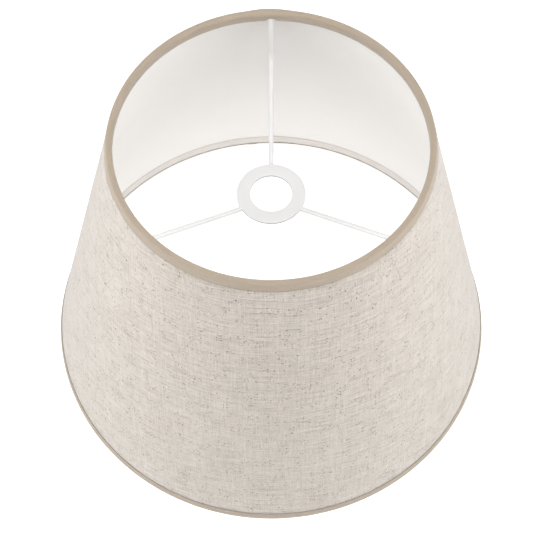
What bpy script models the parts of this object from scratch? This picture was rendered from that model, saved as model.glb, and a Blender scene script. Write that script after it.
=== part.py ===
"""Tapered drum lamp shade on two wire rings, hung from a washer by three arms.

Metres, +Z up. The shade stands on the plane z = 0 with the middle of its bottom opening at the origin.
The sheets lap at the back, at +Y, behind the back arm. Heights w are measured from a ring's centre
away from the wall, and runs u outward from it, so one set of binding rules serves both rings.
"""
import math

import bmesh
import bpy
from mathutils import Vector

TOP = 1
BOTTOM = -1

# Overall size
HEIGHT = 0.370                  # over both bindings
TOP_RING_RADIUS = 0.1500        # to the centre of the wire
BOTTOM_RING_RADIUS = 0.2480

# Stock
RING_WIRE = 0.0040              # diameter
ARM_ROD = 0.0050                # diameter
LINING_THICKNESS = 0.0004
COVER_THICKNESS = 0.0005
SEAM_TAPE_THICKNESS = 0.0001
BINDING_THICKNESS = 0.0006
GAP = 0.0003                    # clearance kept between neighbouring pieces

# Fitter
WASHER_RADIUS = 0.0345
BORE_RADIUS = 0.0210
WASHER_THICKNESS = 0.0022
WASHER_DROP = 0.0940            # from the top ring's centre down to the washer's top face
ARM_SLOPE = math.radians(15.0)
ARM_LEVEL_RUN = 0.0030          # level stub at the washer
ARM_BEND = 0.0120               # bend radius below the top ring
ARM_ANGLES = {"spoke_back": 90.0, "spoke_left": 210.0, "spoke_right": 330.0}

# Sheets
EDGE_RISE = 0.0015              # the sheets end this far past a ring's centre
SEAM_ANGLE = 90.0
LAP = 3.4                       # degrees of overlap
LAP_RISE = 12.0                 # degrees over which the outer end climbs on the inner one
LAP_FALL = 1.6                  # degrees over which a binding comes back down after the lap
LAP_CLEAR = 0.5                 # degrees between a sheet's end and a step

# Bindings
OUTER_LEG = {TOP: 0.0062, BOTTOM: 0.0070}    # tape width below a ring's centre, outside, top and bottom
INNER_LEG = {TOP: 0.0085, BOTTOM: 0.0105}    # the same, inside
INNER_TURN_IN = 0.0010          # the top tape's free edge leans this far towards the lining
FOLD_RADIUS = 0.0015            # outer fold over the sheets' edge
TENT_CLEARANCE = 0.0012         # from an arm to where the tape that passes over it starts to fall back
TENT_SLANT = 0.0060             # width over which it falls back
BINDING_STOP = math.radians(160.0)     # where the bottom binding ends on its ring
INNER_TAPE_START = math.radians(176.0)

RING_DIVISIONS = 64
WIRE_SIDES = 8
WASHER_DIVISIONS = 48

# Levels of the rings, and the wall that is tangent to both
BEAD = RING_WIRE / 2 + GAP + BINDING_THICKNESS
TOP_RING_Z = HEIGHT - BEAD
BOTTOM_RING_Z = BEAD
SLOPE = (BOTTOM_RING_RADIUS - TOP_RING_RADIUS) / (TOP_RING_Z - BOTTOM_RING_Z)
LEAN = math.cos(math.atan(SLOPE))

# Layers of the wall, measured square to it from the line through the rings' centres
LINING_IN = RING_WIRE / 2 + GAP
LINING_OUT = LINING_IN + LINING_THICKNESS
COVER_IN = LINING_OUT + GAP
COVER_OUT = COVER_IN + COVER_THICKNESS
SEAM_TAPE_IN = COVER_OUT + GAP
SEAM_TAPE_OUT = SEAM_TAPE_IN + SEAM_TAPE_THICKNESS
LAP_STEP = SEAM_TAPE_OUT + GAP - LINING_IN

RING_RADIUS = {TOP: TOP_RING_RADIUS, BOTTOM: BOTTOM_RING_RADIUS}
RING_Z = {TOP: TOP_RING_Z, BOTTOM: BOTTOM_RING_Z}


def clear_scene():
    for old in list(bpy.data.objects):
        bpy.data.objects.remove(old, do_unlink=True)


def material(name, colour, roughness, metallic=0.0):
    made = bpy.data.materials.new(name)
    made.use_nodes = True
    shader = made.node_tree.nodes["Principled BSDF"]
    shader.inputs["Base Color"].default_value = (*colour, 1.0)
    shader.inputs["Roughness"].default_value = roughness
    shader.inputs["Metallic"].default_value = metallic
    return made


def smoothstep(t):
    t = min(max(t, 0.0), 1.0)
    return t * t * (3 - 2 * t)


def place(along, radius, z):
    """Point at an angle in degrees along the sheet, counted from the edge that lies inside the lap."""
    angle = math.radians(SEAM_ANGLE - LAP / 2 + along)
    return Vector((radius * math.cos(angle), radius * math.sin(angle), z))


def wall_run(side, w, offset):
    """Run from a ring's centre circle to the wall's layer at that offset."""
    return offset / LEAN - side * SLOPE * w


def arm_positions():
    return [(angle - SEAM_ANGLE + LAP / 2) % 360 for angle in ARM_ANGLES.values()]


def tent_widths():
    """Half widths, in degrees, of the tape's flat part over an arm and of its foot."""
    flat = ARM_ROD / 2 + TENT_CLEARANCE
    return math.degrees(flat / TOP_RING_RADIUS), math.degrees((flat + TENT_SLANT) / TOP_RING_RADIUS)


def ring_stations():
    """Angles that every sheet, ring and binding shares, so that neighbours keep their gap."""
    flat, foot = tent_widths()
    wanted = [0.0, LAP / 2, LAP, LAP + LAP_CLEAR, LAP + LAP_CLEAR + LAP_FALL]
    wanted += [360 - LAP_CLEAR - LAP_RISE * step / 4 for step in range(5)]
    for arm in arm_positions():
        wanted += [(arm + offset) % 360 for offset in (-foot, -flat, 0.0, flat, foot)]
    spacing = 360 / RING_DIVISIONS
    for index in range(RING_DIVISIONS):
        angle = index * spacing
        nearest = min(abs((angle - other + 180) % 360 - 180) for other in wanted)
        if nearest > spacing / 3:
            wanted.append(angle)
    return sorted(set(round(angle, 6) for angle in wanted))


def sheet_lift(along):
    """How far a sheet stands off its own layer, from its inner end at 0 to its outer end at 360 + LAP."""
    return LAP_STEP * smoothstep((along - (360 - LAP_CLEAR - LAP_RISE)) / LAP_RISE)


def binding_lift(along):
    """How far a binding's outer leg stands off to clear the lap."""
    fall = 1 - smoothstep((along - LAP - LAP_CLEAR) / LAP_FALL)
    return max(LAP_STEP * fall, sheet_lift(along))


def tent_weight(along):
    """1 where the tape passes over an arm, 0 where it lies against the lining."""
    flat, foot = tent_widths()
    nearest = min(abs((along - arm + 180) % 360 - 180) for arm in arm_positions())
    return 1 - smoothstep((nearest - flat) / (foot - flat))


def loft(name, sections, closed, finish):
    """Solid through equal outlines: a loop of them, or a run with a cap at each end."""
    mesh = bmesh.new()
    rings = [[mesh.verts.new(point) for point in outline] for outline in sections]
    count = len(rings[0])
    spans = list(zip(rings, rings[1:]))
    if closed:
        spans.append((rings[-1], rings[0]))
    for first, second in spans:
        for index in range(count):
            following = (index + 1) % count
            mesh.faces.new((first[index], first[following], second[following], second[index]))
    if not closed:
        mesh.faces.new(rings[0])
        mesh.faces.new(rings[-1])
    bmesh.ops.recalc_face_normals(mesh, faces=mesh.faces)
    return keep(name, mesh, finish)


def keep(name, mesh, finish):
    data = bpy.data.meshes.new(name)
    mesh.to_mesh(data)
    mesh.free()
    data.materials.append(finish)
    data.shade_smooth()
    data.set_sharp_from_angle(angle=math.radians(35))
    made = bpy.data.objects.new(name, data)
    bpy.context.collection.objects.link(made)
    return made


def wire_ring(name, side, stations, finish):
    radius = RING_WIRE / 2
    turns = [2 * math.pi * index / WIRE_SIDES for index in range(WIRE_SIDES)]
    sections = []
    for along in stations:
        outline = [(RING_RADIUS[side] + radius * math.cos(turn), RING_Z[side] + radius * math.sin(turn))
                   for turn in turns]
        sections.append([place(along, r, z) for r, z in outline])
    return loft(name, sections, True, finish)


def rolled_sheet(name, inner, outer, stations, finish):
    """Sheet from ring to ring that laps over its own start."""
    run = stations + [360 + along for along in stations if along <= LAP]
    top = TOP_RING_Z + EDGE_RISE
    bottom = BOTTOM_RING_Z - EDGE_RISE
    sections = []
    for along in run:
        lift = sheet_lift(along)
        outline = [(bottom, inner), (bottom, outer), (top, outer), (top, inner)]
        sections.append([place(along, TOP_RING_RADIUS + wall_run(TOP, z - TOP_RING_Z, layer + lift), z)
                         for z, layer in outline])
    return loft(name, sections, False, finish)


def seam_strip(name, stations, finish):
    """Double-sided tape between the two ends of the lap."""
    inset = LAP / 8
    top = TOP_RING_Z - RING_WIRE / 2
    bottom = BOTTOM_RING_Z + RING_WIRE / 2
    inside = [along for along in stations if inset < along < LAP - inset]
    sections = []
    for along in [inset] + inside + [LAP - inset]:
        outline = [(bottom, SEAM_TAPE_IN), (bottom, SEAM_TAPE_OUT), (top, SEAM_TAPE_OUT), (top, SEAM_TAPE_IN)]
        sections.append([place(along, TOP_RING_RADIUS + wall_run(TOP, z - TOP_RING_Z, layer), z)
                         for z, layer in outline])
    return loft(name, sections, False, finish)


def arc(centre, radius, start, end, steps):
    angles = [start + (end - start) * step / steps for step in range(steps + 1)]
    return [(centre[0] + radius * math.cos(a), centre[1] + radius * math.sin(a)) for a in angles]


def leaving_angle(point, radius):
    """Angle on the ring's inner side where a tape pulled to the point leaves a circle of that radius."""
    bearing = math.atan2(point[1], point[0]) % (2 * math.pi)
    return bearing - math.acos(radius / math.hypot(*point))


def binding_outline(side, lift, stop, inner_points):
    """Folded tape's outline: outer leg, fold over the sheets, round the ring, and an optional inner leg.

    The inner leg's points are on the tape's face that is next to the wall.
    """
    inside = RING_WIRE / 2 + GAP
    outside = inside + BINDING_THICKNESS
    face = COVER_OUT + GAP + lift + BINDING_THICKNESS
    leg = OUTER_LEG[side]
    fold_w = outside - FOLD_RADIUS
    fold = (wall_run(side, fold_w, face) - FOLD_RADIUS, fold_w)
    right = math.pi / 2
    outer = [(wall_run(side, -leg, face), -leg)]
    outer += arc(fold, FOLD_RADIUS, 0.0, right, 2)
    outer += arc((0.0, 0.0), outside, right, stop, 3)
    outer += [(u - BINDING_THICKNESS, w) for u, w in inner_points]
    inner = [(wall_run(side, -leg, face - BINDING_THICKNESS), -leg)]
    inner += arc(fold, FOLD_RADIUS - BINDING_THICKNESS, 0.0, right, 2)
    inner += arc((0.0, 0.0), inside, right, stop, 3)
    inner += inner_points
    return outer + inner[::-1]


def ring_outline(side, along, outline):
    return [place(along, RING_RADIUS[side] + u, RING_Z[side] + side * w) for u, w in outline]


def top_binding(stations, finish):
    """The inner leg hangs from the ring's inner side, and stands off to pass over each arm."""
    clear = RING_WIRE / 2 + GAP
    over_arm = min(arm_leg_run() - ARM_ROD / 2 - GAP, -clear)
    knee, hem = -clear, -INNER_LEG[TOP]
    sections = []
    for along in stations:
        weight = tent_weight(along)
        knee_u = -clear + (over_arm + clear) * weight
        hem_u = -clear + INNER_TURN_IN + (over_arm + clear - INNER_TURN_IN) * weight
        outline = binding_outline(TOP, binding_lift(along), math.pi, [(knee_u, knee), (hem_u, hem)])
        sections.append(ring_outline(TOP, along, outline))
    return loft("top_binding", sections, True, finish)


def bottom_binding(stations, finish):
    sections = []
    for along in stations:
        outline = binding_outline(BOTTOM, binding_lift(along), BINDING_STOP, [])
        sections.append(ring_outline(BOTTOM, along, outline))
    return loft("bottom_binding", sections, True, finish)


def bottom_inner_tape(stations, finish):
    """Pale tape from the bottom ring's inner side up to the lining."""
    clear = RING_WIRE / 2 + GAP
    hem = -INNER_LEG[BOTTOM]
    end = (wall_run(BOTTOM, hem, LINING_IN - GAP), hem)
    stop = leaving_angle(end, clear)
    back = (end[0] + BINDING_THICKNESS * math.cos(stop), end[1] + BINDING_THICKNESS * math.sin(stop))
    outer = arc((0.0, 0.0), clear + BINDING_THICKNESS, INNER_TAPE_START, stop, 1) + [back]
    inner = arc((0.0, 0.0), clear, INNER_TAPE_START, stop, 1) + [end]
    sections = [ring_outline(BOTTOM, along, outer + inner[::-1]) for along in stations]
    return loft("bottom_inner_tape", sections, True, finish)


def washer(finish):
    """Flat ring whose bore takes the lampholder."""
    mesh = bmesh.new()
    top = TOP_RING_Z - WASHER_DROP
    corners = [(BORE_RADIUS, top), (WASHER_RADIUS, top), (WASHER_RADIUS, top - WASHER_THICKNESS),
               (BORE_RADIUS, top - WASHER_THICKNESS)]
    verts = [mesh.verts.new((r, 0.0, z)) for r, z in corners]
    edges = [mesh.edges.new((verts[index], verts[(index + 1) % 4])) for index in range(4)]
    bmesh.ops.spin(mesh, geom=verts + edges, cent=(0, 0, 0), axis=(0, 0, 1), angle=2 * math.pi,
                   steps=WASHER_DIVISIONS, use_merge=True)
    bmesh.ops.recalc_face_normals(mesh, faces=mesh.faces)
    return keep("fitter_washer", mesh, finish)


def arm_leg_run():
    """Run of an arm's upright leg from the top ring's centre: its top just clears the lining."""
    top = -(RING_WIRE / 2 + GAP)
    return wall_run(TOP, top, LINING_IN - GAP) - ARM_ROD / 2


def arm_route():
    """Centre line of an arm: level stub at the washer, rising arm, bend, upright leg to the ring."""
    level = TOP_RING_Z - WASHER_DROP - WASHER_THICKNESS / 2
    start = WASHER_RADIUS + GAP
    leg = TOP_RING_RADIUS + arm_leg_run()
    knee = start + ARM_LEVEL_RUN
    corner_z = level + (leg - knee) * math.tan(ARM_SLOPE)
    turn = math.pi / 2 - ARM_SLOPE
    centre = (leg - ARM_BEND, corner_z + ARM_BEND * math.tan(turn / 2))
    bend = arc(centre, ARM_BEND, -turn, 0.0, 6)
    return [(start, level), (knee, level)] + bend + [(leg, TOP_RING_Z - RING_WIRE / 2 - GAP)]


def arm(name, angle, finish):
    curve = bpy.data.curves.new(name, "CURVE")
    curve.dimensions = "3D"
    curve.bevel_depth = ARM_ROD / 2
    curve.bevel_resolution = 2
    curve.use_fill_caps = True
    curve.materials.append(finish)
    route = arm_route()
    spline = curve.splines.new("POLY")
    spline.points.add(len(route) - 1)
    for point, (radius, z) in zip(spline.points, route):
        point.co = (radius, 0.0, z, 1.0)
    spline.use_smooth = True
    made = bpy.data.objects.new(name, curve)
    made.rotation_euler.z = math.radians(angle)
    bpy.context.collection.objects.link(made)
    return made


def main():
    clear_scene()
    stations = ring_stations()
    wire = material("ring wire", (0.62, 0.63, 0.64), 0.35, 1.0)
    coat = material("white powder coat", (0.87, 0.87, 0.87), 0.42)
    sheet = material("satin lining", (0.82, 0.80, 0.78), 0.55)
    cloth = material("oatmeal linen", (0.66, 0.59, 0.52), 0.90)
    trim = material("taupe binding", (0.54, 0.46, 0.38), 0.90)
    pale = material("off-white tape", (0.78, 0.75, 0.71), 0.85)
    glue = material("clear seam tape", (0.80, 0.78, 0.70), 0.30)

    wire_ring("top_ring", TOP, stations, wire)
    wire_ring("bottom_ring", BOTTOM, stations, wire)
    washer(coat)
    for name, angle in ARM_ANGLES.items():
        arm(name, angle, coat)
    rolled_sheet("lining", LINING_IN, LINING_OUT, stations, sheet)
    rolled_sheet("fabric_cover", COVER_IN, COVER_OUT, stations, cloth)
    seam_strip("seam_tape", stations, glue)
    top_binding(stations, trim)
    bottom_binding(stations, trim)
    bottom_inner_tape(stations, pale)


main()
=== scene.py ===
"""Looks of a tapered drum lamp shade: linen cover and lining, folded tapes, coated washer and arms.

Metres, +Z up. The shade stands on z = 0 with its lap at the back, at +Y. A ring's profile is drawn with
u, the run outward from the ring's centre circle, and w, the height from it away from the wall.
"""

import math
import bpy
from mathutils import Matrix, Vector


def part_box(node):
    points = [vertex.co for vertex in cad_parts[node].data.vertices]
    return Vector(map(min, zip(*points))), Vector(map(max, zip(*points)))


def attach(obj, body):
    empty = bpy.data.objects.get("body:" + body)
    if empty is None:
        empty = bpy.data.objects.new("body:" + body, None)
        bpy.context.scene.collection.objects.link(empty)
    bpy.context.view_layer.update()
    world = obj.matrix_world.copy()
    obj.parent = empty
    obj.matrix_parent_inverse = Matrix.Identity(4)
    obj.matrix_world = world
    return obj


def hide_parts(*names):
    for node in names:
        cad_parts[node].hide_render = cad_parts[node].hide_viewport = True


bl_info = {
    "name": "Tapered lamp shade",
    "version": (1, 0, 0),
    "blender": (4, 5, 0),
    "location": "3D View > Sidebar > Lamp shade",
    "description": "Makes the cloth, tapes and coated metal of a tapered lamp shade around its frame",
    "category": "Object",
}

import bmesh
import bpy
from mathutils import Matrix, Vector, noise

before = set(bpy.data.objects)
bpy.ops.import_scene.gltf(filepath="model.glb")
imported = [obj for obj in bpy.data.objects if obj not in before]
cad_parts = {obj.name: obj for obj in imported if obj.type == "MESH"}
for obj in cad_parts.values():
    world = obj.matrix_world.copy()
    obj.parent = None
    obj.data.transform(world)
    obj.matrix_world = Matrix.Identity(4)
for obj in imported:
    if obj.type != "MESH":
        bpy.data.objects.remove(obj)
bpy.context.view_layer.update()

TOP = 1
BOTTOM = -1
BODY = "root"
FLAT_MAP = "cut"
ARM_ANGLES = {"back": 90.0, "left": 210.0, "right": 330.0}


def node_radii(name):
    """Smallest and largest distance of a node's corners from the shade's axis."""
    reach = [math.hypot(vertex.co.x, vertex.co.y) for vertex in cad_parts[name].data.vertices]
    return min(reach), max(reach)


def ring_centre(name):
    """Radius of a wire ring's centre circle, its height, and the wire's own radius."""
    low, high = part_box(name)
    wire = (high[2] - low[2]) / 2
    return node_radii(name)[1] - wire, (low[2] + high[2]) / 2, wire


TOP_RADIUS, TOP_Z, WIRE_RADIUS = ring_centre("top_ring")
BOTTOM_RADIUS, BOTTOM_Z, _ = ring_centre("bottom_ring")
RING_RADIUS = {TOP: TOP_RADIUS, BOTTOM: BOTTOM_RADIUS}
RING_Z = {TOP: TOP_Z, BOTTOM: BOTTOM_Z}
SLOPE = (BOTTOM_RADIUS - TOP_RADIUS) / (TOP_Z - BOTTOM_Z)
LEAN = math.cos(math.atan(SLOPE))
CONE_SINE = math.sin(math.atan(SLOPE))
SHEET_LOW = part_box("lining")[0][2]
SHEET_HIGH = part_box("lining")[1][2]
TAPE_FACE = {TOP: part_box("top_binding")[1][2] - TOP_Z, BOTTOM: BOTTOM_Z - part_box("bottom_binding")[0][2]}
HEM = {TOP: TOP_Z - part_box("top_binding")[0][2], BOTTOM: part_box("bottom_inner_tape")[1][2] - BOTTOM_Z}
OUTER_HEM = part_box("bottom_binding")[1][2] - BOTTOM_Z
WASHER_BORE, WASHER_RADIUS = node_radii("fitter_washer")
WASHER_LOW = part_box("fitter_washer")[0][2]
WASHER_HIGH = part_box("fitter_washer")[1][2]
ARM_LOW, ARM_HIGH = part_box("spoke_back")
ROD_RADIUS = (ARM_HIGH[0] - ARM_LOW[0]) / 2


class LampShadeSettings(bpy.types.PropertyGroup):
    """Sizes and colours that a maker would change."""

    lining_thickness: bpy.props.FloatProperty(
        name="Lining", description="Thickness of the stiff lining", default=0.0004, unit="LENGTH")
    cover_thickness: bpy.props.FloatProperty(
        name="Cover", description="Thickness of the linen cover", default=0.00046, unit="LENGTH")
    glue_line: bpy.props.FloatProperty(
        name="Glue line", description="Space between laminated layers", default=0.00002, unit="LENGTH")
    seam_tape: bpy.props.FloatProperty(
        name="Seam tape", description="Thickness of the tape in the lap", default=0.0001, unit="LENGTH")
    lap: bpy.props.FloatProperty(
        name="Lap", description="Overlap of the sheets' ends", default=math.radians(3.4), unit="ROTATION")
    lap_rise: bpy.props.FloatProperty(
        name="Lap rise", description="Stretch over which the outer end climbs", default=math.radians(9.0),
        unit="ROTATION")
    tape_thickness: bpy.props.FloatProperty(
        name="Tape", description="Thickness of one layer of tape", default=0.00055, unit="LENGTH")
    top_outer_hem: bpy.props.FloatProperty(
        name="Top hem", description="Depth of the top tape outside", default=0.0062, unit="LENGTH")
    pale_thickness: bpy.props.FloatProperty(
        name="Pale tape", description="Thickness of the pale tape inside the bottom edge",
        default=0.00025, unit="LENGTH")
    fold_radius: bpy.props.FloatProperty(
        name="Fold", description="Radius of the tapes' outer fold", default=0.0015, unit="LENGTH")
    tape_join: bpy.props.FloatProperty(
        name="Tape join", description="Overlap of a tape's ends", default=0.008, unit="LENGTH")
    pucker: bpy.props.FloatProperty(
        name="Pucker", description="How far the top tape stands off over an arm", default=0.0007,
        unit="LENGTH")
    notch: bpy.props.FloatProperty(
        name="Notch", description="How far the top tape's inner hem rises over an arm", default=0.0038,
        unit="LENGTH")
    arm_slope: bpy.props.FloatProperty(
        name="Arm slope", description="Rise of an arm from the washer", default=math.radians(15.0),
        unit="ROTATION")
    arm_bend: bpy.props.FloatProperty(
        name="Arm bend", description="Bend radius of an arm", default=0.012, unit="LENGTH")
    arm_stub: bpy.props.FloatProperty(
        name="Arm stub", description="Level run of an arm at the washer", default=0.003, unit="LENGTH")
    thread: bpy.props.FloatProperty(
        name="Thread", description="Pitch of the linen's threads", default=0.00062, unit="LENGTH")
    linen_light: bpy.props.FloatVectorProperty(
        name="Light thread", description="Colour of the linen's pale threads", subtype="COLOR",
        default=(0.765, 0.705, 0.64))
    linen_dark: bpy.props.FloatVectorProperty(
        name="Dark thread", description="Colour of the linen's darker threads", subtype="COLOR",
        default=(0.49, 0.42, 0.345))
    fleck: bpy.props.FloatVectorProperty(
        name="Fleck", description="Colour of the flecks in the linen", subtype="COLOR",
        default=(0.15, 0.10, 0.06))
    tape_colour: bpy.props.FloatVectorProperty(
        name="Tape colour", description="Colour of the taupe tape", subtype="COLOR",
        default=(0.51, 0.415, 0.315))
    pale_colour: bpy.props.FloatVectorProperty(
        name="Pale tape colour", description="Colour of the tape inside the bottom edge", subtype="COLOR",
        default=(0.95, 0.90, 0.86))
    lining_colour: bpy.props.FloatVectorProperty(
        name="Lining colour", description="Colour of the lining", subtype="COLOR",
        default=(0.915, 0.90, 0.88))
    coat_colour: bpy.props.FloatVectorProperty(
        name="Coat colour", description="Colour of the powder coat", subtype="COLOR",
        default=(0.95, 0.95, 0.95))


def settings():
    return bpy.context.scene.lamp_shade


def smoothstep(t):
    """0 up to t = 0, 1 from t = 1, and an even rise between."""
    t = min(max(t, 0.0), 1.0)
    return t * t * (3 - 2 * t)


def polar(radius, angle, z):
    """Point at a distance from the shade's axis, an angle round it and a height."""
    return Vector((radius * math.cos(angle), radius * math.sin(angle), z))


def wall_run(side, w, offset):
    """Run from a ring's centre circle to the wall's layer at that offset, at height w."""
    return offset / LEAN - side * SLOPE * w


# ---------------------------------------------------------------- shader maths

class Wire:
    """A node's output that takes part in arithmetic: each operation adds its Math node."""

    def __init__(self, board, socket):
        self.board = board
        self.socket = socket

    def _math(self, operation, first, second):
        return self.board.add("ShaderNodeMath", {"operation": operation}, {0: first, 1: second})

    def __add__(self, other):
        return self._math("ADD", self, other)

    __radd__ = __add__

    def __mul__(self, other):
        return self._math("MULTIPLY", self, other)

    __rmul__ = __mul__

    def __sub__(self, other):
        return self._math("SUBTRACT", self, other)

    def __rsub__(self, other):
        return self._math("SUBTRACT", other, self)


COLOUR_A, COLOUR_B = 6, 7       # a Mix node's inputs for colours
COLOUR_OUT = 2                  # and its output


class Board:
    """A material's nodes, laid out as expressions."""

    def __init__(self, name, roughness, sheen=0.0, metallic=0.0, coat=0.0):
        self.material = bpy.data.materials.new(name)
        self.material.use_nodes = True
        self.nodes = self.material.node_tree.nodes
        self.shader = self.nodes["Principled BSDF"]
        fixed = {"Roughness": roughness, "Metallic": metallic, "Sheen Weight": sheen, "Coat Weight": coat}
        for socket, value in fixed.items():
            self.plug(self.shader.inputs[socket], value)

    def add(self, kind, choices, sockets, output=0):
        """A node with its choices set and its sockets filled. One of its outputs goes on as a wire."""
        made = self.nodes.new(kind)
        for choice, value in choices.items():
            setattr(made, choice, value)
        for socket, value in sockets.items():
            self.plug(made.inputs[socket], value)
        return Wire(self, made.outputs[output])

    def plug(self, socket, value):
        """Joins a wire to a socket, or sets the socket to a value."""
        if isinstance(value, Wire):
            self.material.node_tree.links.new(value.socket, socket)
        elif socket.type == "RGBA":
            socket.default_value = (*value, 1.0)
        else:
            socket.default_value = value

    def flat(self):
        """Place on the cut cloth, in metres."""
        return self.add("ShaderNodeUVMap", {"uv_map": FLAT_MAP}, {})

    def place(self):
        """Place on the piece, in metres."""
        return self.add("ShaderNodeTexCoord", {}, {}, "Object")

    def split(self, vector):
        """A vector's three numbers."""
        first = self.add("ShaderNodeSeparateXYZ", {}, {0: vector})
        return [Wire(self, socket) for socket in first.socket.node.outputs]

    def grain(self, vector, size, seed, detail=2.0):
        """Noise whose cells have that size along each axis. A map of the cut has no depth, so two do."""
        scale = [1 / length for length in size] + [1.0] * (3 - len(size))
        mapped = self.add("ShaderNodeMapping", {}, {
            "Vector": vector, "Scale": scale, "Location": (seed, 2 * seed, 3 * seed)})
        return self.add("ShaderNodeTexNoise", {"noise_dimensions": "3D"}, {
            "Vector": mapped, "Scale": 1.0, "Detail": detail, "Roughness": 0.55})

    def ramp(self, value, low, high):
        """0 below low, 1 above high, smooth between."""
        return self.add("ShaderNodeMapRange", {"interpolation_type": "SMOOTHSTEP"}, {
            "Value": value, "From Min": low, "From Max": high})

    def wave(self, value, pitch):
        """Even ridges that come once in each pitch."""
        return self.add("ShaderNodeMath", {"operation": "SINE"}, {0: value * (2 * math.pi / pitch)})

    def blend(self, factor, first, second):
        """Mix of two colours."""
        return self.add("ShaderNodeMix", {"data_type": "RGBA"}, {
            0: factor, COLOUR_A: first, COLOUR_B: second}, COLOUR_OUT)

    def tint(self, colour, brightness):
        """A colour times a brightness that varies."""
        return self.add("ShaderNodeVectorMath", {"operation": "SCALE"}, {0: colour, "Scale": brightness})

    def finish(self, colour, height=None, depth=0.0, roughness=None):
        """Wires up the shader, with a relief as deep as said where there is one."""
        self.plug(self.shader.inputs["Base Color"], colour)
        if roughness is not None:
            self.plug(self.shader.inputs["Roughness"], roughness)
        if height is not None:
            bump = self.add("ShaderNodeBump", {}, {"Strength": 1.0, "Distance": depth, "Height": height})
            self.plug(self.shader.inputs["Normal"], bump)
        return self.material


def sway(pattern, amount):
    """A pattern's swing about its middle, as large as said."""
    return (pattern - 0.5) * amount


SLUB_WIDTH, FINE_WIDTH, THICK_WIDTH, BARK_WIDTH = 1.3, 1.1, 1.8, 2.7     # in threads
WARP_SLUB, WEFT_SLUB, FINE_LENGTH = 0.035, 0.045, 0.006                  # lengths along the threads
BAND_LENGTH, THICK_LENGTH, BARK_LENGTH = 0.090, 0.030, 0.0034


def linen():
    """Plain weave with slubs along both threads, and flecks of bark spun into them."""
    shade = settings()
    board = Board("oatmeal linen", 0.92, sheen=0.7)
    flat = board.flat()
    across, along, _ = board.split(flat)
    pitch = shade.thread
    weave = board.wave(across, 2 * pitch) * board.wave(along, 2 * pitch)

    warp_slub = board.grain(flat, (SLUB_WIDTH * pitch, WARP_SLUB), 3.1, detail=1.0)
    weft_slub = board.grain(flat, (WEFT_SLUB, SLUB_WIDTH * pitch), 7.7, detail=1.0)
    warp_fine = board.grain(flat, (FINE_WIDTH * pitch, FINE_LENGTH), 11.3)
    weft_fine = board.grain(flat, (FINE_LENGTH, FINE_WIDTH * pitch), 17.9)
    warp_band = board.grain(flat, (0.004, BAND_LENGTH), 19.4)
    cloud = board.grain(flat, (0.045, 0.045), 23.5)
    tone = 0.5 + sway(warp_slub, 0.8) + sway(weft_slub, 1.3) + sway(warp_band, 0.2)
    tone = tone + sway(warp_fine, 0.9) + sway(weft_fine, 0.9) + sway(cloud, 0.25) + weave * 0.05
    thread = board.blend(board.ramp(tone, -0.10, 1.10), shade.linen_dark, shade.linen_light)

    thick = board.grain(flat, (THICK_LENGTH, THICK_WIDTH * pitch), 29.0, detail=1.0)
    thick = board.ramp(thick, 0.60, 0.70)
    upright = board.grain(flat, (BARK_WIDTH * pitch, BARK_LENGTH), 31.0, detail=1.0)
    level = board.grain(flat, (BARK_LENGTH, BARK_WIDTH * pitch), 37.0, detail=1.0)
    bark = board.add("ShaderNodeMath", {"operation": "MAXIMUM"}, {
        0: board.ramp(upright, 0.63, 0.70), 1: board.ramp(level, 0.63, 0.70)})
    bark = bark * board.ramp(board.grain(flat, (0.011, 0.014), 41.0), 0.46, 0.58)
    spun = board.blend(thick * 0.36, thread, shade.fleck)
    colour = board.blend(bark, spun, shade.fleck)

    relief = weave * 0.4 + (warp_slub + weft_slub) * 1.2 + (warp_fine + weft_fine) * 0.8
    return board.finish(colour, relief + bark * 0.4 + thick, 0.00016)


def lining_film():
    """Smooth satin film with the faint grain of the cloth glued to it."""
    board = Board("satin lining", 0.48)
    flat = board.flat()
    veil = board.grain(flat, (0.0008, 0.020), 5.0)
    cloud = board.grain(flat, (0.06, 0.06), 9.0)
    colour = board.tint(settings().lining_colour, 1.0 + sway(veil, 0.035) + sway(cloud, 0.04))
    relief = veil + board.grain(flat, (0.010, 0.0008), 13.0)
    return board.finish(colour, relief, 0.00003, 0.44 + cloud * 0.10)


TWILL_PITCH = 0.0007
HEM_SHADE_FULL = 0.0003               # width of the painted shade along a tape's free edge, where it is full
HEM_SHADE_END = 0.0011               # and to where it has faded out


def cotton_tape(name, colour, seed, hem):
    """Closely woven bias tape: fine twill, pressed, a little uneven in colour, with painted shade along its
    outer hem.
    """
    board = Board(name, 0.9, sheen=0.5)
    flat = board.flat()
    across, along, _ = board.split(flat)
    twill = board.wave(across + along, TWILL_PITCH)
    cross = board.wave(across - along, TWILL_PITCH)
    fibre = board.grain(flat, (0.0006, 0.004), seed)
    streak = board.grain(flat, (0.030, 0.0011), seed + 4)
    cloud = board.grain(flat, (0.030, 0.008), seed + 9)
    wear = 0.98 + sway(fibre, 0.22) + sway(streak, 0.20) + sway(cloud, 0.16) + twill * 0.03
    # painted shade: hem sets how much darker the tape is painted along its outer hem, where it stands proud
    # of the cloth
    brightness = (1.0 - board.ramp(along, HEM_SHADE_END, HEM_SHADE_FULL) * hem) * wear
    return board.finish(board.tint(colour, brightness), twill * 0.5 + cross * 0.4 + fibre, 0.00010)


EDGE_PAINTED_SHADE = 0.42               # how much the washer's upright rim faces are darkened, as painted shade
EDGE_SOFT = 0.0003              # height over which that painted shade comes in
TOP_LIP = 0.0001                # strip below the top face that stays white


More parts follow.
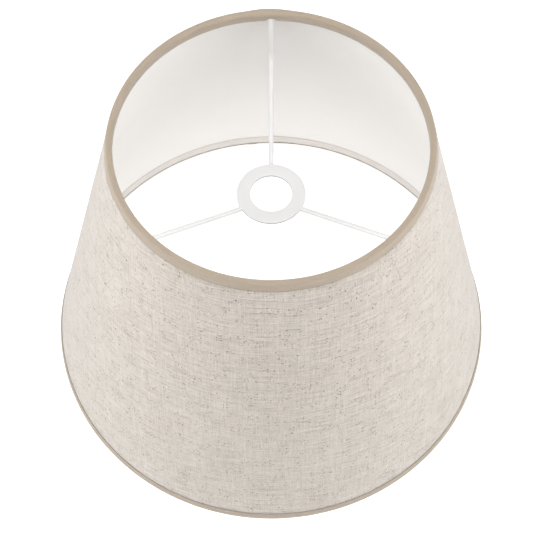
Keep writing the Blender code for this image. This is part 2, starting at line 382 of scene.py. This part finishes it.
def powder_coat(name, edge):
    """Baked powder: satin white with a fine orange peel. With edge set, the washer's rim faces get painted
    shade.
    """
    board = Board(name, 0.34, coat=0.3)
    place = board.place()
    peel = board.grain(place, (0.0011, 0.0011, 0.0011), 2.0, detail=1.0)
    cloud = board.grain(place, (0.02, 0.02, 0.02), 6.0)
    brightness = 0.99 + sway(cloud, 0.03) + sway(peel, 0.02)
    # painted shade: the upright faces between the washer's top and bottom faces are darkened
    if edge:
        height = board.split(place)[2]
        low = board.ramp(height, WASHER_LOW, WASHER_LOW + EDGE_SOFT)
        high = board.ramp(height, WASHER_HIGH - TOP_LIP, WASHER_HIGH - TOP_LIP - EDGE_SOFT)
        brightness = brightness - low * high * EDGE_PAINTED_SHADE
    colour = board.tint(settings().coat_colour, brightness)
    return board.finish(colour, peel, 0.00004, 0.33 + cloud * 0.10)


def drawn_wire():
    """Bright drawn steel with a little rust bloom."""
    board = Board("drawn steel wire", 0.35, metallic=1.0)
    steel, rust = (0.60, 0.61, 0.62), (0.33, 0.22, 0.15)
    place = board.place()
    drawn = board.grain(place, (0.004, 0.004, 0.0004), 1.0)
    bloom = board.ramp(board.grain(place, (0.006, 0.006, 0.006), 8.0), 0.62, 0.78)
    return board.finish(board.blend(bloom * 0.4, steel, rust), drawn, 0.00003, 0.30 + bloom * 0.35)


def clear_tape():
    """Double-sided film, yellowed a little."""
    board = Board("clear seam tape", 0.25)
    yellowed = (0.80, 0.77, 0.66)
    cloud = board.grain(board.place(), (0.004, 0.004, 0.010), 3.0)
    return board.finish(board.tint(yellowed, 0.95 + cloud * 0.1), cloud, 0.00002)


def pale_floor():
    """Seamless white paper that also glows, as a lit sweep does."""
    board = Board("white paper", 0.9)
    paper, glow = (0.62, 0.62, 0.62), (1.0, 1.0, 1.0)
    board.plug(board.shader.inputs["Emission Color"], glow)
    board.plug(board.shader.inputs["Emission Strength"], 0.70)
    fibre = board.grain(board.place(), (0.004, 0.004, 0.004), 1.0)
    return board.finish(board.tint(paper, 0.99 + fibre * 0.02))


# ---------------------------------------------------------------- mesh helpers

SHARP = math.radians(40)        # faces that turn by more than this keep a crisp edge
MERGE = 1e-7                    # corners closer than this are one


def keep(name, mesh, finish):
    """Turns a bmesh into a smooth-shaded object at the origin."""
    data = bpy.data.meshes.new(name)
    mesh.to_mesh(data)
    mesh.free()
    data.materials.append(finish)
    data.shade_smooth()
    data.set_sharp_from_angle(angle=SHARP)
    made = bpy.data.objects.new(name, data)
    bpy.context.collection.objects.link(made)
    return made


def stand_in(piece, slot, *nodes):
    """Seats a piece on the frame in place of the plain solids."""
    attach(piece, BODY)
    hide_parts(*nodes)


def formed(name, columns, rows, put, cut, finish):
    """A flat grid whose points are carried to their places, with a map of where each was on the cut.

    Both functions take the column and row as numbers. The first row's faces look away from the axis.
    """
    mesh = bmesh.new()
    bmesh.ops.create_grid(mesh, x_segments=columns, y_segments=rows, size=0.5)
    layer = mesh.loops.layers.uv.new(FLAT_MAP)
    cells = {vert: (round((vert.co.x + 0.5) * columns), round((vert.co.y + 0.5) * rows))
             for vert in mesh.verts}
    for face in mesh.faces:
        for loop in face.loops:
            loop[layer].uv = cut(*cells[loop.vert])
    for vert in mesh.verts:
        vert.co = put(*cells[vert])
    bmesh.ops.recalc_face_normals(mesh, faces=mesh.faces)
    hem = next(face for face in mesh.faces if min(cells[vert][1] for vert in face.verts) == 0)
    middle = hem.calc_center_median()
    if hem.normal.x * middle.x + hem.normal.y * middle.y < 0:
        bmesh.ops.reverse_faces(mesh, faces=mesh.faces)
    return keep(name, mesh, finish)


def thicken(piece, thickness, soft=0.0):
    """Gives a sheet its thickness, and rounds its edges where they are soft."""
    wall = piece.modifiers.new("thickness", "SOLIDIFY")
    wall.thickness = thickness
    wall.offset = 1.0
    wall.use_even_offset = True
    if soft:
        edge = piece.modifiers.new("soft edge", "BEVEL")
        edge.width = soft
        edge.segments = 2
        edge.limit_method = "ANGLE"
        edge.angle_limit = math.radians(60)


# ---------------------------------------------------------------- cover and lining

SHEET_CLEARANCE = 0.0003        # from a ring's wire to the lining
LAP_START = math.pi / 2         # at the back, behind the arm
LAP_CLEAR = math.radians(0.4)   # between a sheet's end and the next step
LAP_FALL = math.radians(1.4)    # over which a tape comes back down after the lap
SEAM_SHARE = 0.7                # of the lap's width that its tape takes up


def lining_offset():
    """Offset of the lining's inner face from the line through the rings' centres."""
    return WIRE_RADIUS + SHEET_CLEARANCE


def cover_offset():
    """Offset of the cover's inner face."""
    return lining_offset() + settings().lining_thickness + settings().glue_line


def tape_offset():
    """Offset of the cover's outer face, where a tape's inner face lies."""
    return cover_offset() + settings().cover_thickness + settings().glue_line


def lap_step():
    """How far the outer end of the wall stands off the inner end that it covers."""
    return tape_offset() - lining_offset() + settings().seam_tape + settings().glue_line


def sheet_lift(along):
    """How far a sheet stands off its own layer, from its start at 0 to the end that laps over it."""
    rise = settings().lap_rise
    return lap_step() * smoothstep((along - (2 * math.pi - LAP_CLEAR - rise)) / rise)


def edge_lift(angle):
    """How far a tape stands off to pass over the lap, at an angle round the axis."""
    along = (angle - LAP_START) % (2 * math.pi)
    fall = 1 - smoothstep((along - settings().lap - LAP_CLEAR) / LAP_FALL)
    return max(lap_step() * fall, sheet_lift(along))


def inner_lift(angle):
    """How far the lining's inner face stands off near the lap, bridged where its inner end steps in."""
    along = (angle - LAP_START) % (2 * math.pi)
    return sheet_lift(along) * (1 - smoothstep((along - 2 * math.pi) / LAP_FALL + 1))


def slant_at(z, offset):
    """Distance from the cone's point to the wall's layer at a height."""
    return (TOP_RADIUS + wall_run(TOP, z - TOP_Z, offset)) / CONE_SINE


def rolled_sheet(name, inner, thickness, finish):
    """A sheet cut to the cone's flat pattern and rolled up until it laps over its own start."""
    lap = settings().lap
    sweep = 2 * math.pi + lap
    columns, rows = 366, 24

    def level(row):
        return SHEET_LOW + (SHEET_HIGH - SHEET_LOW) * row / rows

    def put(column, row):
        along = sweep * column / columns
        offset = inner + sheet_lift(along)
        return polar(slant_at(level(row), offset) * CONE_SINE, LAP_START + along, level(row))

    def cut(column, row):
        turn = (column / columns - 0.5) * sweep * CONE_SINE
        slant = slant_at(level(row), inner)
        return slant * math.sin(turn), -slant * math.cos(turn)

    piece = formed(name, columns, rows, put, cut, finish)
    thicken(piece, thickness)
    return piece


def sector(inner):
    """Width and height of the flat ring sector that rolls up into a sheet, and its area."""
    short, long = slant_at(SHEET_HIGH, inner), slant_at(SHEET_LOW, inner)
    half = (2 * math.pi + settings().lap) * CONE_SINE / 2
    return (2 * long * math.sin(half), long - short * math.cos(half)), half * (long ** 2 - short ** 2)


# ---------------------------------------------------------------- tapes

JOIN_PRESSED = 0.1              # share of a join's step that is left where it is pressed on the ring
JOIN_START = math.radians(96)   # middle of the tapes' joins, beside the back arm
JOIN_CLIMB = math.radians(1.2)  # over which a tape's end climbs on its start
TURN_IN = 0.0010                # the top tape's inner hem leans this far towards the lining
BOTTOM_STOP = math.radians(166)         # where the bottom tape ends on its ring
PALE_START = math.radians(120)          # and where the pale tape starts under it
HEM_WANDER = 0.0003             # unevenness of the taupe tapes' hems
PALE_WANDER = 0.0004            # and of the pale tape's
TAPE_EDGE = 0.00018             # rounding of a tape's cut edges
PUCKER_CROWN = 0.6              # share of a rod's radius that the tape passes over at full height
PUCKER_FALL = 0.0045            # width over which it comes back to the lining


def arc(centre, radius, start, end, steps):
    """Points round part of a circle, both ends among them."""
    angles = [start + (end - start) * step / steps for step in range(steps + 1)]
    return [(centre[0] + radius * math.cos(a), centre[1] + radius * math.sin(a)) for a in angles]


def run(first, last, steps):
    """Points from first up to last, without last."""
    return [tuple(a + (b - a) * step / steps for a, b in zip(first, last)) for step in range(steps)]


def join_step():
    """How far a tape's end stands off its own start."""
    return settings().tape_thickness + settings().glue_line


def tape_inside(side):
    """Distance from the ring's centre to a tape's inner face, which leaves room for its pressed join."""
    return TAPE_FACE[side] - settings().tape_thickness - JOIN_PRESSED * join_step()


def tape_path(side, hem, stop, lift, tail):
    """Inner face of a folded tape, from its outer hem over the fold, round the ring and down the tail."""
    shade = settings()
    inside = tape_inside(side)
    face = tape_offset() + lift
    fold_w = inside + shade.tape_thickness - shade.fold_radius
    inner_fold = shade.fold_radius - shade.tape_thickness
    fold = (wall_run(side, fold_w, face) - inner_fold, fold_w)
    right = math.pi / 2
    path = run((wall_run(side, -hem, face), -hem), (fold[0] + inner_fold, fold[1]), steps=6)
    path += arc(fold, inner_fold, 0.0, right, steps=4)[:-1]
    path += run((fold[0], inside), (0.0, inside), steps=2)
    path += arc((0.0, 0.0), inside, right, stop, steps=10)
    if tail:
        path += run(path.pop(), tail, steps=5) + [tail]
    return path


def flat_lengths(path):
    """How far along a path each of its points lies."""
    lengths = [0.0]
    for first, last in zip(path, path[1:]):
        lengths.append(lengths[-1] + math.dist(first, last))
    return lengths


def ripple(angle, seed, size):
    """Small unevenness of a sewn edge."""
    return noise.noise((math.cos(angle) * 30, math.sin(angle) * 30, seed)) * size


def folded_tape(name, side, hem, stop, tail, columns, finish):
    """Tape folded over an edge, its end over its start, that stands off at the lap and the arms."""
    shade = settings()
    join = shade.tape_join / RING_RADIUS[side]
    first, sweep = JOIN_START - join / 2, 2 * math.pi + join
    flat = tape_path(side, hem, stop, 0.0, tail)
    lengths = flat_lengths(flat)

    def overlap(along):
        return join_step() * smoothstep((along - (2 * math.pi - JOIN_CLIMB)) / JOIN_CLIMB)

    def put(column, row):
        along = sweep * column / columns
        angle = first + along
        over = overlap(along)
        wavy = hem + ripple(angle, 3.0 + side, HEM_WANDER)
        u, w = tape_path(side, wavy, stop, edge_lift(angle) + over, tail)[row]
        if w > 0 or u < 0:
            reach = math.hypot(u, w)
            u += over * min(u, 0.0) / reach
            w += over * w / reach * JOIN_PRESSED
        if side == TOP and u < 0 and w < 0:
            depth = min(1.0, -w / HEM[side])
            over_arm = pucker_weight(angle) * depth
            u -= shade.pucker * over_arm - ripple(angle, 9.0, HEM_WANDER) * depth
            w += shade.notch * over_arm
        return polar(RING_RADIUS[side] + u, angle, RING_Z[side] + side * w)

    def cut(column, row):
        return (sweep * (column / columns - 0.5) * RING_RADIUS[side], lengths[row])

    piece = formed(name, columns, len(flat) - 1, put, cut, finish)
    thicken(piece, shade.tape_thickness, soft=TAPE_EDGE)
    return piece, (sweep * RING_RADIUS[side], lengths[-1])


def pucker_weight(angle):
    """1 over an arm's upright, falling away as the tape is glued down beside it."""
    turns = [abs((angle - math.radians(turn) + math.pi) % (2 * math.pi) - math.pi)
             for turn in ARM_ANGLES.values()]
    near = min(turns) * TOP_RADIUS
    return 1 - smoothstep((near - ROD_RADIUS * PUCKER_CROWN) / PUCKER_FALL)


def pale_tape(finish):
    """Strip from under the bottom tape, round the ring's inner side and up on to the lining."""
    shade = settings()
    radius = WIRE_RADIUS + shade.glue_line
    behind = lining_offset() - shade.glue_line - shade.pale_thickness
    end = (wall_run(BOTTOM, -HEM[BOTTOM], behind), -HEM[BOTTOM])
    bearing = math.atan2(end[1], end[0]) % (2 * math.pi)
    leave = bearing - math.acos(radius / math.hypot(*end))
    path = arc((0.0, 0.0), radius, PALE_START, leave, steps=8)
    path += run(path.pop(), end, steps=8) + [end]
    lengths = flat_lengths(path)
    columns = 360

    def put(column, row):
        angle = LAP_START + 2 * math.pi * column / columns
        share = row / (len(path) - 1)
        u, w = path[row]
        w -= ripple(angle, 6.0, PALE_WANDER) * share
        u += inner_lift(angle) * share / LEAN
        return polar(BOTTOM_RADIUS + u, angle, BOTTOM_Z - w)

    def cut(column, row):
        return ((column / columns - 0.5) * 2 * math.pi * BOTTOM_RADIUS, lengths[row])

    piece = formed("bottom_inner_tape_cloth", columns, len(path) - 1, put, cut, finish)
    thicken(piece, shade.pale_thickness)
    return piece, (2 * math.pi * BOTTOM_RADIUS, lengths[-1])


# ---------------------------------------------------------------- fitter and arms

ROD_SIDES = 28
WELD_DEPTH = 0.0005             # how far a rod's end is sunk into the washer's edge
WELD_COLLAR = 1.16              # thickness of the weld there, in rods
WELD_RUNS = ((0.0008, 0.95), (0.0006, 0.94), (0.0006, 0.966))    # lengths, and how it thins over each
KNEE_STEPS, RISE_STEPS, BEND_STEPS = 4, 8, 14
WASHER_STEPS = 160
COAT_ROUND = 0.00035            # rounding of the washer's edges
CORNER = 1.0                    # radians; the washer's faces turn by more only at its edges


def extrude_rim(mesh, rim, step, scale=1.0, centre=None):
    """Draws a rim of edges out by a step, and scales it about its centre."""
    made = bmesh.ops.extrude_edge_only(mesh, edges=rim)["geom"]
    verts = [part for part in made if isinstance(part, bmesh.types.BMVert)]
    bmesh.ops.translate(mesh, verts=verts, vec=step)
    if scale != 1.0:
        bmesh.ops.scale(mesh, verts=verts, vec=(scale, scale, scale), space=Matrix.Translation(-centre))
    return [part for part in made if isinstance(part, bmesh.types.BMEdge)]


def turn_rim(mesh, rim, centre, angle, steps):
    """Sweeps a rim of edges upward about a level axis."""
    verts = list(dict.fromkeys(vert for edge in rim for vert in edge.verts))
    made = bmesh.ops.spin(mesh, geom=verts + list(rim), cent=centre, axis=(0, -1, 0), angle=angle,
                          steps=steps)
    return [part for part in made["geom_last"] if isinstance(part, bmesh.types.BMEdge)]


def arm(name, angle, finish):
    """Round rod: weld at the washer, level stub, rising run, bend, and upright leg behind the tape."""
    shade = settings()
    level = (WASHER_LOW + WASHER_HIGH) / 2
    leg = ARM_HIGH[1] - ROD_RADIUS
    knee = WASHER_RADIUS + shade.arm_stub
    rise = math.tan(shade.arm_slope)
    turn = math.pi / 2 - shade.arm_slope
    set_back = shade.arm_bend * math.tan(turn / 2)
    ease = shade.arm_bend * math.tan(shade.arm_slope / 2)
    corner = level + (leg - knee) * rise
    slope = Vector((math.cos(shade.arm_slope), 0.0, math.sin(shade.arm_slope)))
    mesh = bmesh.new()
    start = Vector((WASHER_RADIUS - WELD_DEPTH, 0.0, level))
    facing = Matrix.Translation(start) @ Matrix.Rotation(math.pi / 2, 4, "Y")
    bmesh.ops.create_circle(mesh, cap_ends=False, segments=ROD_SIDES, radius=ROD_RADIUS * WELD_COLLAR,
                            matrix=facing)
    rim = mesh.edges[:]
    for step, factor in WELD_RUNS:
        start = start + Vector((step, 0, 0))
        rim = extrude_rim(mesh, rim, (step, 0, 0), factor, start)
    rim = extrude_rim(mesh, rim, (knee - ease - start.x, 0, 0))
    rim = turn_rim(mesh, rim, (knee - ease, 0.0, level + shade.arm_bend), shade.arm_slope, KNEE_STEPS)
    length = (leg - knee) / slope.x - ease - set_back
    for _ in range(RISE_STEPS):
        rim = extrude_rim(mesh, rim, slope * length / RISE_STEPS)
    centre = (leg - shade.arm_bend, 0.0, corner + set_back)
    rim = turn_rim(mesh, rim, centre, turn, BEND_STEPS)
    extrude_rim(mesh, rim, (0, 0, ARM_HIGH[2] - corner - set_back))
    ends = [edge for edge in mesh.edges if edge.is_boundary]
    bmesh.ops.holes_fill(mesh, edges=ends, sides=ROD_SIDES)
    bmesh.ops.remove_doubles(mesh, verts=mesh.verts, dist=MERGE)
    bmesh.ops.recalc_face_normals(mesh, faces=mesh.faces)
    heading = Matrix.Rotation(math.radians(angle), 3, "Z")
    bmesh.ops.rotate(mesh, verts=mesh.verts, cent=(0, 0, 0), matrix=heading)
    return keep(name, mesh, finish)


def fitter(finish):
    """Flat coated ring with its four edges rounded by the coat."""
    mesh = bmesh.new()
    facing = Matrix.Translation(((WASHER_BORE + WASHER_RADIUS) / 2, 0, (WASHER_LOW + WASHER_HIGH) / 2))
    size = Matrix.Diagonal((WASHER_RADIUS - WASHER_BORE, WASHER_HIGH - WASHER_LOW, 1.0, 1.0))
    bmesh.ops.create_grid(mesh, x_segments=1, y_segments=1, size=0.5,
                          matrix=facing @ Matrix.Rotation(math.pi / 2, 4, "X") @ size)
    bmesh.ops.delete(mesh, geom=mesh.faces[:], context="FACES_ONLY")
    bmesh.ops.spin(mesh, geom=mesh.verts[:] + mesh.edges[:], cent=(0, 0, 0), axis=(0, 0, 1),
                   angle=2 * math.pi, steps=WASHER_STEPS, use_merge=True)
    bmesh.ops.remove_doubles(mesh, verts=mesh.verts, dist=MERGE)
    bmesh.ops.recalc_face_normals(mesh, faces=mesh.faces)
    corners = [edge for edge in mesh.edges if edge.is_manifold and edge.calc_face_angle() > CORNER]
    bmesh.ops.bevel(mesh, geom=corners, offset=COAT_ROUND, offset_type="OFFSET", segments=3, profile=0.5,
                    affect="EDGES", material=-1)
    return keep("fitter_washer_coated", mesh, finish)


# ---------------------------------------------------------------- operators

class LAMPSHADE_OT_sheets(bpy.types.Operator):
    """Roll the lining and the linen cover into a cone and close them with the seam tape"""
    bl_idname = "lampshade.sheets"
    bl_label = "Lining and cover"

    def execute(self, context):
        shade = settings()
        lining = rolled_sheet("lining_film", lining_offset(), shade.lining_thickness, lining_film())
        cover = rolled_sheet("linen_cover", cover_offset(), shade.cover_thickness, linen())
        strip = self.strip(clear_tape())
        stand_in(lining, "lining", "lining")
        stand_in(cover, "cover_fabric", "fabric_cover")
        stand_in(strip, "seam_tape", "seam_tape")
        flat, area = sector(lining_offset())
        flat, area = sector(cover_offset())
        width = BOTTOM_RADIUS * shade.lap * SEAM_SHARE
        height = (TOP_Z - BOTTOM_Z - 2 * WIRE_RADIUS) / LEAN
        height * shade.lap * SEAM_SHARE * (TOP_RADIUS + BOTTOM_RADIUS) / 2
        return {"FINISHED"}

    def strip(self, finish):
        """Tape between the two ends of the lap."""
        shade = settings()
        columns, rows = 6, 24
        offset = tape_offset()
        low, high = BOTTOM_Z + WIRE_RADIUS, TOP_Z - WIRE_RADIUS

        def put(column, row):
            angle = LAP_START + shade.lap * ((1 - SEAM_SHARE) / 2 + SEAM_SHARE * column / columns)
            z = low + (high - low) * row / rows
            return polar(slant_at(z, offset) * CONE_SINE, angle, z)

        def cut(column, row):
            width = shade.lap * SEAM_SHARE * BOTTOM_RADIUS
            return width * column / columns, (high - low) / LEAN * row / rows

        strip = formed("lap_tape", columns, rows, put, cut, finish)
        thicken(strip, shade.seam_tape)
        return strip


class LAMPSHADE_OT_tapes(bpy.types.Operator):
    """Fold the taupe tapes over both edges and lay the pale tape inside the bottom edge"""
    bl_idname = "lampshade.tapes"
    bl_label = "Edge tapes"

    def execute(self, context):
        shade = settings()
        # the taupe tapes get painted shade along their hems, the pale tape none
        taupe = cotton_tape("taupe tape", shade.tape_colour, seed=2.0, hem=0.30)
        pale = cotton_tape("pale tape", shade.pale_colour, seed=21.0, hem=0.0)
        tail = (-tape_inside(TOP) + TURN_IN, -HEM[TOP])
        top, top_flat = folded_tape("top_tape", TOP, shade.top_outer_hem, stop=math.pi, tail=tail,
                                    columns=380, finish=taupe)
        bottom, bottom_flat = folded_tape("bottom_tape", BOTTOM, OUTER_HEM, stop=BOTTOM_STOP, tail=None,
                                          columns=540, finish=taupe)
        inner, inner_flat = pale_tape(pale)
        stand_in(top, "binding", "top_binding")
        stand_in(bottom, "binding", "bottom_binding")
        stand_in(inner, "pale_tape", "bottom_inner_tape")
        return {"FINISHED"}


class LAMPSHADE_OT_fitter(bpy.types.Operator):
    """Make the coated washer and its three arms"""
    bl_idname = "lampshade.fitter"
    bl_label = "Washer and arms"

    def execute(self, context):
        coat = powder_coat("white powder coat", edge=False)
        # the washer's coat carries painted shade on its rim faces
        stand_in(fitter(powder_coat("powder coat with painted edge shade", edge=True)), "powder_coat", "fitter_washer")
        for side, angle in ARM_ANGLES.items():
            stand_in(arm(f"arm_{side}", angle, coat), "powder_coat", f"spoke_{side}")
        return {"FINISHED"}


class LAMPSHADE_OT_rings(bpy.types.Operator):
    """Give the wire rings their steel"""
    bl_idname = "lampshade.rings"
    bl_label = "Wire rings"

    def execute(self, context):
        steel = drawn_wire()
        for name in ("top_ring", "bottom_ring"):
            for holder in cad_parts[name].material_slots:
                holder.material = steel
        return {"FINISHED"}


FLOOR_HALF = 15.0
WORLD_STRENGTH = 0.205
CAMERA_LENS, CAMERA_SENSOR, CAMERA_SHIFT = 77.93, 36.0, -0.0022
CAMERA_PLACE = (0.0, -0.617, 1.2664)
CAMERA_TILT = math.radians(28.09)


class LAMPSHADE_OT_stage(bpy.types.Operator):
    """Set the floor, the soft lights and the camera"""
    bl_idname = "lampshade.stage"
    bl_label = "Stage"

    def execute(self, context):
        mesh = bmesh.new()
        bmesh.ops.create_grid(mesh, x_segments=2, y_segments=2, size=FLOOR_HALF)
        floor = keep("floor", mesh, pale_floor())
        for name, side in (("left_softbox", -1), ("right_softbox", 1)):
            self.light(name, (side * 1.6, -0.3, 1.0), (0, 0, 0.15), size=1.4, power=18.5)
        self.light("overhead_softbox", (0, -0.25, 2.0), (0, 0.05, 0.2), size=1.2, power=15.5)
        world = bpy.data.worlds.new("white room")
        world.use_nodes = True
        background = world.node_tree.nodes["Background"]
        background.inputs["Color"].default_value = (1.0, 1.0, 1.0, 1.0)
        background.inputs["Strength"].default_value = WORLD_STRENGTH
        context.scene.world = world
        context.scene.view_settings.view_transform = "Standard"
        lens = bpy.data.cameras.new("camera")
        lens.lens = CAMERA_LENS
        lens.sensor_width = CAMERA_SENSOR
        lens.shift_x = CAMERA_SHIFT
        camera = bpy.data.objects.new("camera", lens)
        camera.location = CAMERA_PLACE
        camera.rotation_euler = (CAMERA_TILT, 0.0, 0.0)
        context.scene.collection.objects.link(camera)
        context.scene.camera = camera
        return {"FINISHED"}

    def light(self, name, place, target, size, power):
        """A round soft light at a place, aimed at a target, that the camera doesn't see."""
        data = bpy.data.lights.new(name, "AREA")
        data.shape = "DISK"
        data.size = size
        data.energy = power
        lamp = bpy.data.objects.new(name, data)
        lamp.location = place
        away = Vector(place) - Vector(target)
        lamp.rotation_euler = away.to_track_quat("Z", "Y").to_euler()
        lamp.visible_camera = False
        bpy.context.scene.collection.objects.link(lamp)


class LAMPSHADE_PT_panel(bpy.types.Panel):
    """Steps and sizes of the lamp shade"""
    bl_idname = "LAMPSHADE_PT_panel"
    bl_label = "Lamp shade"
    bl_space_type = "VIEW_3D"
    bl_region_type = "UI"
    bl_category = "Lamp shade"

    def draw(self, context):
        for step in STEPS:
            self.layout.operator(step.bl_idname)
        for name in LampShadeSettings.__annotations__:
            self.layout.prop(context.scene.lamp_shade, name)


STEPS = (LAMPSHADE_OT_sheets, LAMPSHADE_OT_tapes, LAMPSHADE_OT_fitter, LAMPSHADE_OT_rings,
         LAMPSHADE_OT_stage)
CLASSES = (LampShadeSettings, *STEPS, LAMPSHADE_PT_panel)


def register():
    for item in CLASSES:
        bpy.utils.register_class(item)
    bpy.types.Scene.lamp_shade = bpy.props.PointerProperty(type=LampShadeSettings)


def unregister():
    del bpy.types.Scene.lamp_shade
    for item in reversed(CLASSES):
        bpy.utils.unregister_class(item)


def main():
    register()
    bpy.ops.lampshade.sheets()
    bpy.ops.lampshade.tapes()
    bpy.ops.lampshade.fitter()
    bpy.ops.lampshade.rings()
    bpy.ops.lampshade.stage()


if __name__ == "__main__":
    main()
